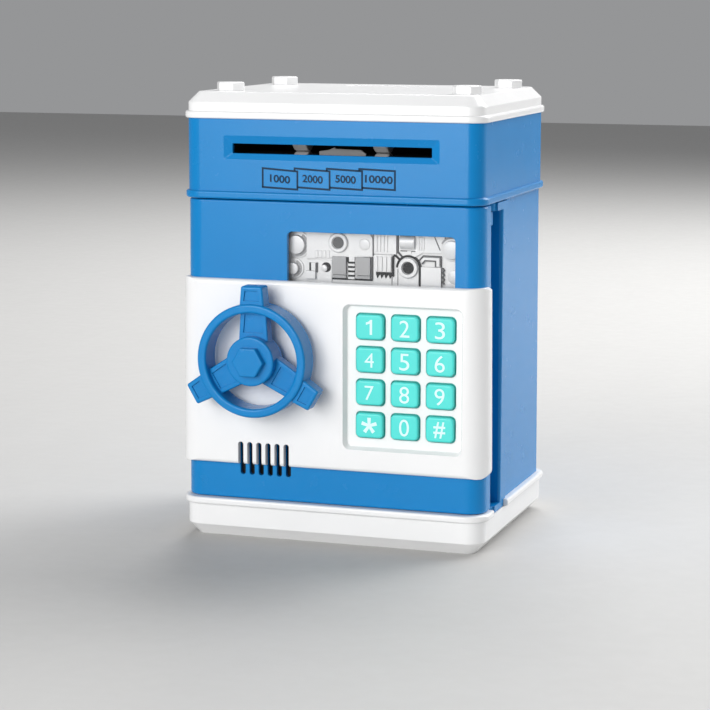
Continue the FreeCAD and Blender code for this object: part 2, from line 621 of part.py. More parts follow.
def drive_motor():
    can = rod_x(18.0, 42.6, MOTOR_Y, MOTOR_Z, 10.0)
    can = can.common(box(0, 50, -40, 20, MOTOR_Z - 7.4, MOTOR_Z + 7.4))
    nose = rod_x(42.5, 43.4, MOTOR_Y, MOTOR_Z, 3.0)
    tail = rod_x(16.6, 18.1, MOTOR_Y, MOTOR_Z, 2.6)
    body = joined([can, nose, tail])
    return body.cut(rod_x(37.0, 50, MOTOR_Y, MOTOR_Z, MOTOR_SHAFT_R + RUNNING))


def motor_shaft():
    return rod_x(37.4, 56.6, MOTOR_Y, MOTOR_Z, MOTOR_SHAFT_R)


def direction(y0, z0, y1, z1):
    """Angle, in degrees, of the line from one gear axis to the next."""
    return math.degrees(math.atan2(z1 - z0, y1 - y0))


def meshed_phases():
    """Turn each gear so that a tooth of one points into a gap of the next."""
    first = direction(DRIVE_Y, DRIVE_Z, IDLER_Y, IDLER_Z)
    second = direction(IDLER_Y, IDLER_Z, MOTOR_Y, MOTOR_Z)
    drive = first
    idler_small = first + 180 + 180 / PINION_TEETH
    idler_large = second
    motor = second + 180 + 180 / PINION_TEETH
    return drive, idler_small, idler_large, motor


def drive_gear():
    body = gear(GEAR_TEETH, 49.0, 52.0, DRIVE_Y, DRIVE_Z, DRIVE_SHAFT_R + 0.01, meshed_phases()[0])
    collar = rod_x(48.0, 49.1, DRIVE_Y, DRIVE_Z, 4.0)
    return joined([body, collar.cut(rod_x(47, 50, DRIVE_Y, DRIVE_Z, DRIVE_SHAFT_R + 0.01))])


def compound_gear():
    bore = IDLER_PEG_R + RUNNING
    small = gear(PINION_TEETH, 49.0, 52.6, IDLER_Y, IDLER_Z, bore, meshed_phases()[1])
    large = gear(GEAR_TEETH, 52.5, 55.5, IDLER_Y, IDLER_Z, bore, meshed_phases()[2])
    return joined([small, large])


def motor_pinion():
    return gear(PINION_TEETH, 52.3, 55.9, MOTOR_Y, MOTOR_Z, MOTOR_SHAFT_R + 0.01, meshed_phases()[3])


def rollers(z, radius, bore):
    tyres = []
    for x in (-ROLLER_X, ROLLER_X):
        tyre = rod_x(x - ROLLER_W / 2, x + ROLLER_W / 2, DRIVE_Y, z, radius)
        tyre = softened(tyre, 0.5, lambda e: e.Curve.TypeId == "Part::GeomCircle")
        tyres.append(tyre.cut(rod_x(x - 5, x + 5, DRIVE_Y, z, bore + 0.01)))
    return tyres


def note_switch():
    body = box(-1.0, 7.0, -31.4, -26.0, 152.5, 159.8)
    pins = [box(x, x + 0.6, -29.0, -28.4, 149.4, 152.6) for x in (0.5, 2.7, 4.9)]
    return joined([body] + pins)


def note_lever():
    """Feeler that stands in the note path and tips back when a note reaches it."""
    axle = rod_x(LEVER_X0 - 1.5, LEVER_X1 + 1.6, LEVER_Y, LEVER_Z, 0.9)
    outline = [(LEVER_X0, LEVER_Z), (LEVER_X1, LEVER_Z), (LEVER_X1, 162.1), (9.1, 163.5), (-1.6, 163.8),
               (-2.3, 164.4), (-4.6, 163.3), (LEVER_X0, 162.7), (LEVER_X0, LEVER_Z)]
    face = Part.Face(Part.makePolygon([V(x, LEVER_Y - 0.8, z) for x, z in outline]))
    return joined([axle, face.extrude(V(0, 1.5, 0))])


# ---------------------------------------------------------------- door
def vents(y0, y1):
    first = WHEEL_X - VENT_PITCH * (VENT_COUNT - 1) / 2
    return [facing(first + VENT_PITCH * k - VENT_W / 2, first + VENT_PITCH * k + VENT_W / 2,
                   VENT_LOW, VENT_HIGH, y0, y1, VENT_W / 2 - 0.01) for k in range(VENT_COUNT)]


def door_block(inset):
    """The door's outer form, which narrows a little towards its top, or that form shrunk by inset."""
    half_y = -DOOR_FRONT - inset
    return taper_up(DOOR_FOOT_X - inset, half_y, DOOR_R - inset, DOOR_LOW + inset,
                    DOOR_X - inset, half_y, DOOR_R - inset, DOOR_HIGH - inset)


def door_ear(z0):
    nose = rod_z(HINGE_X, HINGE_Y, z0, z0 + EAR_TALL, EAR_R)
    neck = box(HINGE_X - EAR_R, HINGE_X + EAR_R, DOOR_FRONT + 1, HINGE_Y, z0, z0 + EAR_TALL)
    return joined([nose, neck]).common(door_block(0.2))


def door_shell():
    shell = door_block(0).common(box(-90, 90, -90, DOOR_BACK, 0, 200))
    shell = softened(shell, 0.8, lambda e: level_edge(e, DOOR_LOW) or level_edge(e, DOOR_HIGH))
    shell = shell.cut(door_block(DOOR_SKIN))
    top_ear = LOWER_TOP - 0.3 - KNUCKLE_TALL - 0.4 - EAR_TALL
    pieces = [shell, door_ear(DOOR_LOW), door_ear(top_ear)]
    pieces.append(rod_y(WHEEL_X, DOOR_FRONT + 1, -41.5, WHEEL_Z, 7.0))
    pieces += [rod_y(x, DOOR_FRONT + DOOR_SKIN - 0.1, INNER_FRONT, z, 3.2) for x, z in INNER_SCREWS]
    body = joined(pieces)
    cutters = [facing(WINDOW_X0, WINDOW_X1, WINDOW_LOW, WINDOW_HIGH, *SKIN_CUT, 2.0)]
    cutters.append(facing(4.5, 58.6, 39.8, 103.3, *SKIN_CUT, 3.0))
    cutters += vents(*SKIN_CUT)
    cutters.append(rod_y(WHEEL_X, -52, -38, WHEEL_Z, SHAFT_R + RUNNING))
    cutters += [rod_y(x, -46, -38, z, 1.15 + RUNNING) for x, z in INNER_SCREWS]
    cutters += [rod_y(x, *SKIN_CUT, z, 1.6) for x, z in FASCIA_PEGS]
    cutters.append(rod_z(HINGE_X, HINGE_Y, 0, 200, PIN_R + RUNNING))
    return pierced(body, cutters)


def key_centres():
    """Yield (name, x, z) for the twelve keys, bottom row first."""
    for row, names in enumerate(KEY_NAMES):
        for column, name in enumerate(names):
            x = KEY_CENTRE_X + (column - 1) * KEY_PITCH_X
            yield name, x, KEY_CENTRE_Z + (row - 1.5) * KEY_PITCH_Z


def door_fascia():
    slab = taper_up(FASCIA_FOOT_X, -FASCIA_FRONT, FASCIA_R, FASCIA_LOW,
                    FASCIA_X, -FASCIA_FRONT, FASCIA_R, FASCIA_HIGH)
    slab = slab.common(facing(-FASCIA_FOOT_X, FASCIA_FOOT_X, FASCIA_LOW, FASCIA_HIGH, -80, FASCIA_BACK, 3.2))
    slab = slab.common(sideways(FASCIA_FRONT, 0, FASCIA_LOW, FASCIA_HIGH, -80, 80, 1.6))
    slab = slab.cut(door_block(0))
    tub = facing(4.8, 58.3, 40.1, 103.0, DOOR_FRONT - 0.5, KEYPAD_FLOOR + KEYPAD_SKIN, 3.0)
    pegs = [rod_y(x, DOOR_FRONT - 0.5, -46.8, z, 1.5) for x, z in FASCIA_PEGS]
    body = joined([slab, tub] + pegs)
    recess = taper_back((KEYPAD_X0, KEYPAD_X1, KEYPAD_LOW, KEYPAD_HIGH, 3.0), FASCIA_FRONT - 0.001,
                        (KEYPAD_X0 + 1, KEYPAD_X1 - 1, KEYPAD_LOW + 1, KEYPAD_HIGH - 1, 2.2), KEYPAD_FLOOR)
    cutters = [recess] + vents(-54, -49)
    for name, x, z in key_centres():
        half_w = KEY_W / 2 + KEY_GAP
        half_h = KEY_H / 2 + KEY_GAP
        cutters.append(facing(x - half_w, x + half_w, z - half_h, z + half_h, -50, -47, 2.2))
    cutters.append(rod_y(WHEEL_X, -54, -49, WHEEL_Z, SHAFT_R + 0.6))
    return pierced(body, cutters)


def key(x, z):
    """Key cap with a flange behind the fascia and a stem that presses the membrane."""
    cap = facing(x - KEY_W / 2, x + KEY_W / 2, z - KEY_H / 2, z + KEY_H / 2,
                 KEY_FRONT, PANE_FRONT + 0.1, 2.0)
    cap = softened(cap, 0.8, lambda e: front_edge(e, KEY_FRONT))
    half_w = KEY_W / 2 + 2 * KEY_GAP
    half_h = KEY_H / 2 + 2 * KEY_GAP
    flange = facing(x - half_w, x + half_w, z - half_h, z + half_h, PANE_FRONT, PANE_BACK, 2.4)
    stem = rod_y(x, PANE_BACK - 0.1, MEMBRANE_FRONT - KEY_TRAVEL - 0.1, z, 2.0)
    return joined([cap, flange, stem])


def window_pane():
    return facing(WINDOW_X0 - 2, WINDOW_X1 + 2, WINDOW_LOW - 1.5, WINDOW_HIGH + 2,
                  PANE_FRONT, PANE_BACK, 1.0)


def relief_plate():
    """Moulded picture of machinery behind the window: turrets, housings and ribs on a flat plate."""
    back = RELIEF_FACE + 1.6
    rooted = RELIEF_FACE + 0.1
    plate = facing(WINDOW_X0 - 2.6, WINDOW_X1 + 2.6, WINDOW_LOW - 2, WINDOW_HIGH + 2.7,
                   RELIEF_FACE, back, 1.0)
    turrets = [(-15.5, 125.0, 3.9), (-17.2, 115.5, 2.7), (2.5, 126.5, 3.6), (13.6, 126.2, 2.4),
               (32.4, 117.5, 4.1), (51.0, 125.0, 3.4), (51.0, 114.0, 2.6)]
    raised = [rod_y(x, RELIEF_FACE - 1.6, rooted, z, radius) for x, z, radius in turrets]
    housings = [(0.1, 6.4, 111.0, 120.0), (10.0, 16.7, 111.0, 120.0), (38.6, 46.8, 111.0, 119.0)]
    raised += [box(x0, x1, RELIEF_FACE - 1.3, rooted, z0, z1) for x0, x1, z0, z1 in housings]
    raised += [box(18.0 + 2.2 * k, 19.2 + 2.2 * k, RELIEF_FACE - 1.0, rooted, 115.0, 130.0) for k in range(4)]
    return joined([plate] + raised)


def keypad_membrane():
    return facing(7.5, 56.5, 43.0, 101.0, MEMBRANE_FRONT, BOARD_FRONT, 2.0)


def control_board():
    board = box(2.5, 59.5, BOARD_FRONT, BOARD_BACK, 31.0, 104.0)
    rooted = BOARD_BACK - 0.1
    chips = [box(20, 34, rooted, -39.7, 60, 74), box(12, 17, rooted, -39.9, 84, 94),
             box(44, 52, rooted, -39.8, 40, 46)]
    return joined([board] + chips)


def speaker():
    frame_disc = rod_y(WHEEL_X, -47.7, -44.5, 35.5, 13.5)
    basket = rod_y(WHEEL_X, -44.6, -42.6, 35.5, 11.0)
    magnet = rod_y(WHEEL_X, -42.7, -40.2, 35.5, 7.5)
    cone = Part.makeCone(11.8, 4.0, 2.2, V(WHEEL_X, -47.71, 35.5), Y_AXIS)
    return joined([frame_disc, basket, magnet]).cut(cone)


def lock_solenoid():
    coil = facing(LOCK_X - 6.0, LOCK_X + 6.0, LOCK_Z - 7.7, LOCK_Z + 7.7, -47.9, -40.2, 1.0)
    return coil.cut(rod_y(LOCK_X, -47.7, -30, LOCK_Z, LOCK_R + RUNNING))


def lock_pin():
    pin = rod_y(LOCK_X, -47.5, -38.0, LOCK_Z, LOCK_R)
    return softened(pin, 0.4, lambda e: front_edge(e, -38.0))


def inner_cover():
    cover = facing(-61.3, 61.3, 19.8, 140.1, INNER_FRONT, INNER_BACK, 3.0)
    stiffeners = [box(-40, 46, INNER_BACK - 0.1, -37.3, z, z + 1.6) for z in (58.0, 112.0)]
    cover = joined([cover] + stiffeners)
    cutters = [rod_y(WHEEL_X, -45, -30, WHEEL_Z, SHAFT_R + 0.6)]
    cutters.append(rod_y(LOCK_X, -45, -30, LOCK_Z, LOCK_R + RUNNING))
    cutters.append(box(56.2, 65, -45, -30, 17, DOOR_LOW + EAR_TALL + 0.4))
    cutters.append(box(56.2, 65, -45, -30, LOWER_TOP - 0.3 - KNUCKLE_TALL - EAR_TALL - 0.8, 145))
    for x, z in INNER_SCREWS:
        cutters.append(rod_y(x, -45, -30, z, 1.4))
        cutters.append(rod_y(x, INNER_FRONT + 0.4, -30, z, 2.6))
    return pierced(cover, cutters)


def inner_cover_screws():
    screws = []
    for x, z in INNER_SCREWS:
        head = rod_y(x, INNER_FRONT + 0.4, INNER_BACK - 0.1, z, 2.4)
        head = head.cut(box(x - 1.6, x + 1.6, -38.4, -37, z - 0.3, z + 0.3))
        head = head.cut(box(x - 0.3, x + 0.3, -38.4, -37, z - 1.6, z + 1.6))
        screws.append(joined([head, rod_y(x, -45.5, INNER_FRONT + 0.5, z, 1.15)]))
    return screws


# ---------------------------------------------------------------- hand wheel and latch
def turned(shape, degrees):
    """Turn a copy of a shape about the wheel's own axis."""
    copy = shape.copy()
    copy.rotate(V(WHEEL_X, 0, WHEEL_Z), Y_AXIS, degrees)
    return copy


def bar(r0, half0, r1, half1, y0, y1):
    """Tapered bar pointing up from the wheel's axis, from radius r0 to r1."""
    points = [(-half0, r0), (half0, r0), (half1, r1), (-half1, r1), (-half0, r0)]
    wire = Part.makePolygon([V(WHEEL_X + x, y0, WHEEL_Z + z) for x, z in points])
    return Part.Face(wire).extrude(V(0, y1 - y0, 0))


def hand_wheel():
    ring = rod_y(WHEEL_X, RING_FRONT, RING_BACK, WHEEL_Z, RING_R)
    ring = ring.cut(rod_y(WHEEL_X, RING_FRONT - 1, RING_BACK + 1, WHEEL_Z, RING_BORE))
    ring = softened(ring, 1.0, lambda e: e.Curve.TypeId == "Part::GeomCircle")
    hub = rod_y(WHEEL_X, HUB_FRONT, SPOKE_BACK + 1, WHEEL_Z, HUB_R)
    hub = softened(hub, 0.8, lambda e: front_edge(e, HUB_FRONT))
    tail = rod_y(WHEEL_X, SPOKE_BACK, FASCIA_FRONT - 0.5, WHEEL_Z, 7.0)
    corner = BOSS_FLATS / math.sqrt(3)
    hexagon = [V(WHEEL_X + corner * math.cos(math.radians(60 * k)), HUB_FRONT + 0.5,
                 WHEEL_Z + corner * math.sin(math.radians(60 * k))) for k in range(7)]
    boss = Part.Face(Part.makePolygon(hexagon)).extrude(V(0, BOSS_FRONT - HUB_FRONT - 0.5, 0))
    boss = softened(boss, 0.6, lambda e: not front_edge(e, HUB_FRONT + 0.5))
    spoke = bar(7.0, 6.4, RING_R - 1.5, 5.45, SPOKE_FRONT, SPOKE_BACK)
    spoke = softened(spoke, 0.6, lambda e: e.BoundBox.ZLength > 5 and e.BoundBox.YMax < SPOKE_FRONT + 0.1)
    lug = bar(RING_R - 2.0, 5.45, LUG_R, 4.6, LUG_FRONT, SPOKE_BACK)
    lug = softened(lug, 0.9, lambda e: abs(e.BoundBox.ZMin - WHEEL_Z - LUG_R) < 0.1
                   or (e.BoundBox.ZLength > 5 and e.BoundBox.YLength < 0.1)
                   or (e.BoundBox.YLength > 5 and e.BoundBox.ZMin > WHEEL_Z + LUG_R - 0.1))
    spoke_panel = bar(HUB_R + 1.2, 4.3, RING_BORE - 1.0, 3.6, SPOKE_FRONT - 1, SPOKE_FRONT + 0.6)
    lug_panel = bar(RING_R + 1.2, 3.4, LUG_R - 1.8, 2.8, LUG_FRONT - 1, LUG_FRONT + 0.6)
    pieces = [ring, hub, tail, boss]
    panels = []
    for turn in (0, 120, 240):
        pieces += [turned(spoke, turn), turned(lug, turn)]
        panels += [turned(spoke_panel, turn), turned(lug_panel, turn)]
    body = joined(pieces)
    panels.append(rod_y(WHEEL_X, -66.0, -50, WHEEL_Z, SHAFT_R + 0.02))
    return pierced(body, panels)


def wheel_shaft():
    round_part = rod_y(WHEEL_X, -65.9, ARM_FRONT - 0.1, WHEEL_Z, SHAFT_R)
    square = box(WHEEL_X - 2.6, WHEEL_X + 2.6, ARM_FRONT - 0.2, ARM_BACK, WHEEL_Z - 2.6, WHEEL_Z + 2.6)
    return joined([round_part, square]).cut(rod_y(WHEEL_X, -37.0, -30, WHEEL_Z, 1.0))


def shaft_clip():
    ring = rod_y(WHEEL_X, -41.3, -40.3, WHEEL_Z, 6.4)
    ring = ring.cut(rod_y(WHEEL_X, -42, -40, WHEEL_Z, SHAFT_R + 0.01))
    return ring.cut(box(WHEEL_X - 1.2, WHEEL_X + 1.2, -42, -40, WHEEL_Z, WHEEL_Z + 8))


def latch_arm():
    """Cam arm: it hangs down while unlocked and turns to the left behind the strike."""
    hub = rod_y(WHEEL_X, ARM_FRONT, ARM_BACK, WHEEL_Z, 6.5)
    tip_z = WHEEL_Z - ARM_REACH + ARM_W / 2
    shank = box(WHEEL_X - ARM_W / 2, WHEEL_X + ARM_W / 2, ARM_FRONT, ARM_BACK, tip_z, WHEEL_Z)
    nose = rod_y(WHEEL_X, ARM_FRONT, ARM_BACK, tip_z, ARM_W / 2)
    arm = joined([hub, shank, nose])
    return arm.cut(box(WHEEL_X - 2.65, WHEEL_X + 2.65, -40, -20, WHEEL_Z - 2.65, WHEEL_Z + 2.65))


def arm_screw():
    head = rod_y(WHEEL_X, ARM_BACK, ARM_BACK + 1.8, WHEEL_Z, 3.4)
    head = head.cut(box(WHEEL_X - 2.2, WHEEL_X + 2.2, ARM_BACK + 1.0, -20, WHEEL_Z - 0.4, WHEEL_Z + 0.4))
    return joined([head, rod_y(WHEEL_X, -36.5, ARM_BACK + 0.1, WHEEL_Z, 0.97)])


# ---------------------------------------------------------------- write every node
def write_case():
    save("base_tray", base_tray())
    save("battery_cover", battery_cover())
    save("battery_cover_screw", screw(COVER_SCREW_X, BAY_Y0 - 2.6, 1.2, 8.6, COVER_HEAD_R, 1.0))
    save("batteries", *batteries())
    save("battery_contacts", *battery_contacts())
    save("battery_springs", *battery_springs())
    save("base_screws", *[screw(x, y, 7.0, 15.0) for x, y in BASE_SCREWS])
    save("lower_case", lower_case())
    save("hinge_pins", *hinge_pins())
    save("chamber_ceiling", chamber_ceiling())
    save("upper_case", upper_case())
    save("case_screws", *[screw(x, y, 152.0, 133.0) for x, y in CASE_SCREWS])
    save("top_cover", top_cover())
    save("corner_studs", *corner_studs())
    save("cover_screws", *[screw(x, y, 171.0, 181.5) for x, y in COVER_SCREWS])
    save("coin_chute", coin_chute())


def write_transport():
    save("transport_frame", transport_frame())
    save("note_guide_upper", note_guide_upper())
    save("note_deflector", note_deflector())
    save("transport_screws", *transport_screws())
    save("drive_motor", drive_motor())
    save("motor_shaft", motor_shaft())
    save("motor_pinion", motor_pinion())
    save("compound_gear", compound_gear())
    save("drive_gear", drive_gear())
    save("drive_shaft", rod_x(-47.0, 52.6, DRIVE_Y, DRIVE_Z, DRIVE_SHAFT_R))
    save("drive_rollers", *rollers(DRIVE_Z, DRIVE_R, DRIVE_SHAFT_R))
    save("pinch_shaft", rod_x(-46.6, 46.6, DRIVE_Y, PINCH_Z, PINCH_SHAFT_R))
    save("pinch_rollers", *rollers(PINCH_Z, PINCH_R, PINCH_SHAFT_R))
    save("note_switch", note_switch())
    save("note_lever", note_lever())


def write_door():
    save("door_shell", door_shell())
    save("door_fascia", door_fascia())
    save("window_pane", window_pane())
    save("relief_plate", relief_plate())
    save("keypad_membrane", keypad_membrane())
    save("control_board", control_board())
    save("speaker", speaker())
    save("lock_solenoid", lock_solenoid())
    save("lock_pin", lock_pin())
    save("inner_cover", inner_cover())
    save("inner_cover_screws", *inner_cover_screws())
    for name, x, z in key_centres():
        save("key_" + name, key(x, z))


def write_wheel():
    save("hand_wheel", hand_wheel())
    save("wheel_shaft", wheel_shaft())
    save("shaft_clip", shaft_clip())
    save("latch_arm", latch_arm())
    save("arm_screw", arm_screw())


write_case()
write_transport()
write_door()
write_wheel()
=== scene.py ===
"""Looks for the toy cash machine bank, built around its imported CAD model."""

import json
import math

import bmesh
import bpy
from mathutils import Matrix, Vector


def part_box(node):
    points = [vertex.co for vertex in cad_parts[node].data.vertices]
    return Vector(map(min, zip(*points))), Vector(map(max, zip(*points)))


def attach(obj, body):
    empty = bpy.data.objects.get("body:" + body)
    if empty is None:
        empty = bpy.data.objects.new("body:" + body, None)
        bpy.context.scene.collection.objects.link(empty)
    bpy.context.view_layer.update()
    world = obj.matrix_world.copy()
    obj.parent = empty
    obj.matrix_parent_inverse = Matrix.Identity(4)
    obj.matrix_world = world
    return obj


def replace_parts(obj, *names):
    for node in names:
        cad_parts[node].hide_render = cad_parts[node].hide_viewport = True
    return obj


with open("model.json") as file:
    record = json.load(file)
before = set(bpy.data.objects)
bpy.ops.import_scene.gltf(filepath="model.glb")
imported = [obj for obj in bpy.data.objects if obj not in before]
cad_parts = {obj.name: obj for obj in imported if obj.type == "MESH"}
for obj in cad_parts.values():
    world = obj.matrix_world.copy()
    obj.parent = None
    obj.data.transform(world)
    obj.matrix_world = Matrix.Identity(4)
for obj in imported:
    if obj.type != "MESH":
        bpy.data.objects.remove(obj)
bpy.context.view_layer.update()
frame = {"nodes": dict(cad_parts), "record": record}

MM = 0.001


# ---------------------------------------------------------------- materials

def noise(nodes, links, place, scale, detail):
    """A noise texture in the object's own space; returns its factor."""
    texture = nodes.new("ShaderNodeTexNoise")
    texture.inputs["Scale"].default_value = scale
    texture.inputs["Detail"].default_value = detail
    links.new(place.outputs["Object"], texture.inputs["Vector"])
    return texture.outputs["Fac"]


def ranged(nodes, links, factor, low, high):
    """Maps the middle of a noise factor to the range from low to high."""
    spread = nodes.new("ShaderNodeMapRange")
    spread.inputs["From Min"].default_value = 0.3
    spread.inputs["From Max"].default_value = 0.7
    spread.inputs["To Min"].default_value = low
    spread.inputs["To Max"].default_value = high
    links.new(factor, spread.inputs["Value"])
    return spread.outputs["Result"]


def moulded(name, colour, rough, mottle=0.03, grain=0.02, coat=0.0, metallic=0.0, edge=0.35,
            uneven=0.08, shine=0.5):
    """A moulded surface: faint mottling, uneven gloss, a fine grain and softly rounded edges.

    grain is the depth of the grain and edge the radius of the rounding, both in millimetres.
    """
    material = bpy.data.materials.new(name)
    material.use_nodes = True
    nodes = material.node_tree.nodes
    links = material.node_tree.links
    surface = nodes["Principled BSDF"]
    surface.inputs["Metallic"].default_value = metallic
    surface.inputs["Specular IOR Level"].default_value = shine
    surface.inputs["Coat Weight"].default_value = coat
    surface.inputs["Coat Roughness"].default_value = 0.15
    place = nodes.new("ShaderNodeTexCoord")

    tint = nodes.new("ShaderNodeValToRGB")
    tint.color_ramp.elements[0].position = 0.3
    tint.color_ramp.elements[0].color = [*(c * (1 - mottle) for c in colour), 1]
    tint.color_ramp.elements[1].position = 0.7
    tint.color_ramp.elements[1].color = [*(min(1, c * (1 + mottle)) for c in colour), 1]
    links.new(noise(nodes, links, place, 38.0, 3.0), tint.inputs["Fac"])
    links.new(tint.outputs["Color"], surface.inputs["Base Color"])

    smears = noise(nodes, links, place, 130.0, 5.0)
    links.new(ranged(nodes, links, smears, rough * (1 - uneven), rough * (1 + 2 * uneven)),
              surface.inputs["Roughness"])

    bump = nodes.new("ShaderNodeBump")
    bump.inputs["Strength"].default_value = 0.5
    bump.inputs["Distance"].default_value = grain * MM
    links.new(noise(nodes, links, place, 1400.0, 2.0), bump.inputs["Height"])
    if edge:
        rounding = nodes.new("ShaderNodeBevel")
        rounding.samples = 4
        rounding.inputs["Radius"].default_value = edge * MM
        links.new(rounding.outputs["Normal"], bump.inputs["Normal"])
    links.new(bump.outputs["Normal"], surface.inputs["Normal"])
    return material


def clear_sheet(name):
    """Clear moulded sheet: mostly see-through, with a thin gloss and faint smears in it."""
    material = bpy.data.materials.new(name)
    material.use_nodes = True
    nodes = material.node_tree.nodes
    links = material.node_tree.links
    surface = nodes["Principled BSDF"]
    surface.inputs["Base Color"].default_value = (0.96, 0.98, 1.0, 1)
    surface.inputs["IOR"].default_value = 1.49
    surface.inputs["Alpha"].default_value = 0.025
    place = nodes.new("ShaderNodeTexCoord")
    smears = noise(nodes, links, place, 90.0, 4.0)
    links.new(ranged(nodes, links, smears, 0.03, 0.09), surface.inputs["Roughness"])
    return material


WHITE = (0.86, 0.86, 0.86)
BLUE = (0.003, 0.21, 0.53)

FINISHES = {
    "white_shell": moulded("white_shell", WHITE, 0.24, mottle=0.012, coat=0.1, uneven=0.02),
    "blue_shell": moulded("blue_shell", BLUE, 0.26, mottle=0.02, grain=0.01, coat=0.05, uneven=0.03,
                          shine=0.25),
    "turquoise_key": moulded("turquoise_key", (0.07, 0.72, 0.66), 0.3, edge=0.5),
    "clear_window": clear_sheet("clear_window"),
    "silver_relief": moulded("silver_relief", (0.66, 0.66, 0.66), 0.34, metallic=0.1, edge=0.15),
    "roller_rubber": moulded("roller_rubber", (0.68, 0.68, 0.68), 0.62, grain=0.05),
    "dark_plastic": moulded("dark_plastic", (0.012, 0.012, 0.013), 0.7, grain=0.04, shine=0.2),
    "grey_plastic": moulded("grey_plastic", (0.34, 0.34, 0.345), 0.5, grain=0.04, edge=0.15),
    "gear_plastic": moulded("gear_plastic", (0.60, 0.59, 0.56), 0.42),
    "steel": moulded("steel", (0.62, 0.62, 0.64), 0.3, metallic=1.0, edge=0.2, uneven=0.2),
    "contact_metal": moulded("contact_metal", (0.74, 0.74, 0.75), 0.2, metallic=1.0, uneven=0.2),
    "cell_wrap": moulded("cell_wrap", (0.03, 0.035, 0.04), 0.3),
    "circuit_board": moulded("circuit_board", (0.01, 0.16, 0.06), 0.35, mottle=0.15),
    "membrane_rubber": moulded("membrane_rubber", (0.16, 0.16, 0.17), 0.7, grain=0.05),
}
LEVER = moulded("lever", (0.32, 0.32, 0.32), 0.5, grain=0.04, edge=0.15)
KEY_PRINT = moulded("key_print", (0.70, 0.93, 0.92), 0.45, mottle=0.01, edge=0)
SLOT_PRINT = moulded("slot_print", (0.008, 0.04, 0.085), 0.6, mottle=0.08, edge=0, shine=0.2)
# painted shade: near-black standing in for the shade inside the relief's deepest grooves and holes, and
# for painted shadows
GROOVE_SHADE = moulded("groove_shade", (0.012, 0.012, 0.013), 0.6, mottle=0.1, edge=0, shine=0.1)
# painted shade: mid-dark grey for the shade along shallow grooves and edges of the relief, and for a
# painted shadow
SHADE = moulded("shade", (0.11, 0.11, 0.113), 0.6, mottle=0.06, edge=0, shine=0.1)


def finish_cad():
    """Gives every CAD node the finish that the record names for it, and the feeler a greyer one."""
    for part in frame["record"]["subparts"]:
        node = frame["nodes"][part["node"]]
        node.data.materials.clear()
        node.data.materials.append(FINISHES[part["material_slot"]])
    lever = frame["nodes"]["note_lever"]
    lever.data.materials.clear()
    lever.data.materials.append(LEVER)


# ---------------------------------------------------------------- mesh helpers

def piece(name, mesh, material, body):
    """Puts a mesh into the scene with its finish, riding on a body."""
    thing = bpy.data.objects.new(name, mesh)
    bpy.context.scene.collection.objects.link(thing)
    mesh.materials.clear()
    mesh.materials.append(material)
    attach(thing, body)
    return thing


def finished(bm, name):
    """Turns a bmesh into a mesh with its faces outward."""
    bmesh.ops.recalc_face_normals(bm, faces=bm.faces)
    mesh = bpy.data.meshes.new(name)
    bm.to_mesh(mesh)
    bm.free()
    return mesh


def softened(thing, width):
    """Rounds a piece's edges by a bevel, width in millimetres."""
    thing.data.shade_smooth()
    bevel = thing.modifiers.new("edges", "BEVEL")
    bevel.width = width * MM
    bevel.segments = 2
    bevel.limit_method = "ANGLE"
    bevel.angle_limit = math.radians(35)
    bevel.harden_normals = True


def skin(bm, rings):
    """Joins rings of vertices one to the next, and closes the first and the last."""
    bm.faces.new(rings[0])
    bm.faces.new(list(reversed(rings[-1])))
    for near, far in zip(rings, rings[1:]):
        for k in range(len(near)):
            after = (k + 1) % len(near)
            bm.faces.new([near[k], far[k], far[after], near[after]])


def prism(bm, outline, front, back):
    """Solid with an outline of (x, z) points between two depths."""
    rings = [[bm.verts.new((x, y, z)) for x, z in outline] for y in (front, back)]
    skin(bm, rings)


def ribbon_outline(points, width):
    """Outline of a mitred line of one width through some (x, z) points."""
    points = [Vector(p) for p in points]
    left, right = [], []
    for k, point in enumerate(points):
        before = (point - points[k - 1]).normalized() if k else None
        after = (points[k + 1] - point).normalized() if k + 1 < len(points) else None
        before = before or after
        after = after or before
        along = (before + after).normalized()
        reach = width / 2 / max(0.3, along.dot(before))
        side = Vector((-along.y, along.x)) * reach
        left.append(point + side)
        right.append(point - side)
    return [tuple(p) for p in left + right[::-1]]


def circle(x, z, radius, start=0.0, stop=360.0, steps=48):
    """Points along an arc, counted in degrees from the right; a whole circle doesn't repeat its first."""
    count = steps if stop - start >= 360 else steps + 1
    angles = [math.radians(start + (stop - start) * k / steps) for k in range(count)]
    return [(x + radius * math.cos(a), z + radius * math.sin(a)) for a in angles]


def rectangle(x0, x1, z0, z1):
    return [(x0, z0), (x1, z0), (x1, z1), (x0, z1)]


def moved(mesh, offset):
    for v in mesh.vertices:
        v.co += offset


# ---------------------------------------------------------------- signs on the keys

SIGN_THICK = 0.12


def lettering(text, tall, wide, thick, weight):
    """Upright text as a mesh that faces -Y, centred on its own middle and scaled to a given size."""
    curve = bpy.data.curves.new("lettering", "FONT")
    curve.body = text
    curve.size = tall
    curve.offset = weight
    curve.extrude = thick / 2
    curve.resolution_u = 6
    holder = bpy.data.objects.new("lettering", curve)
    bpy.context.scene.collection.objects.link(holder)
    bpy.context.view_layer.update()
    mesh = bpy.data.meshes.new_from_object(holder.evaluated_get(bpy.context.evaluated_depsgraph_get()))
    bpy.data.objects.remove(holder)
    points = [v.co for v in mesh.vertices]
    low = Vector(map(min, zip(*points)))
    high = Vector(map(max, zip(*points)))
    middle = (low + high) / 2
    for v in mesh.vertices:
        across = (v.co.x - middle.x) * wide / (high.x - low.x)
        up = (v.co.y - middle.y) * tall / (high.y - low.y)
        v.co = Vector((across, -(v.co.z - middle.z), up))
    return mesh


def sign(name, outline):
    """One sign cut from a sheet; its outline is in millimetres about the key's middle."""
    bm = bmesh.new()
    prism(bm, [(x * MM, z * MM) for x, z in outline], -SIGN_THICK / 2 * MM, SIGN_THICK / 2 * MM)
    return finished(bm, name)


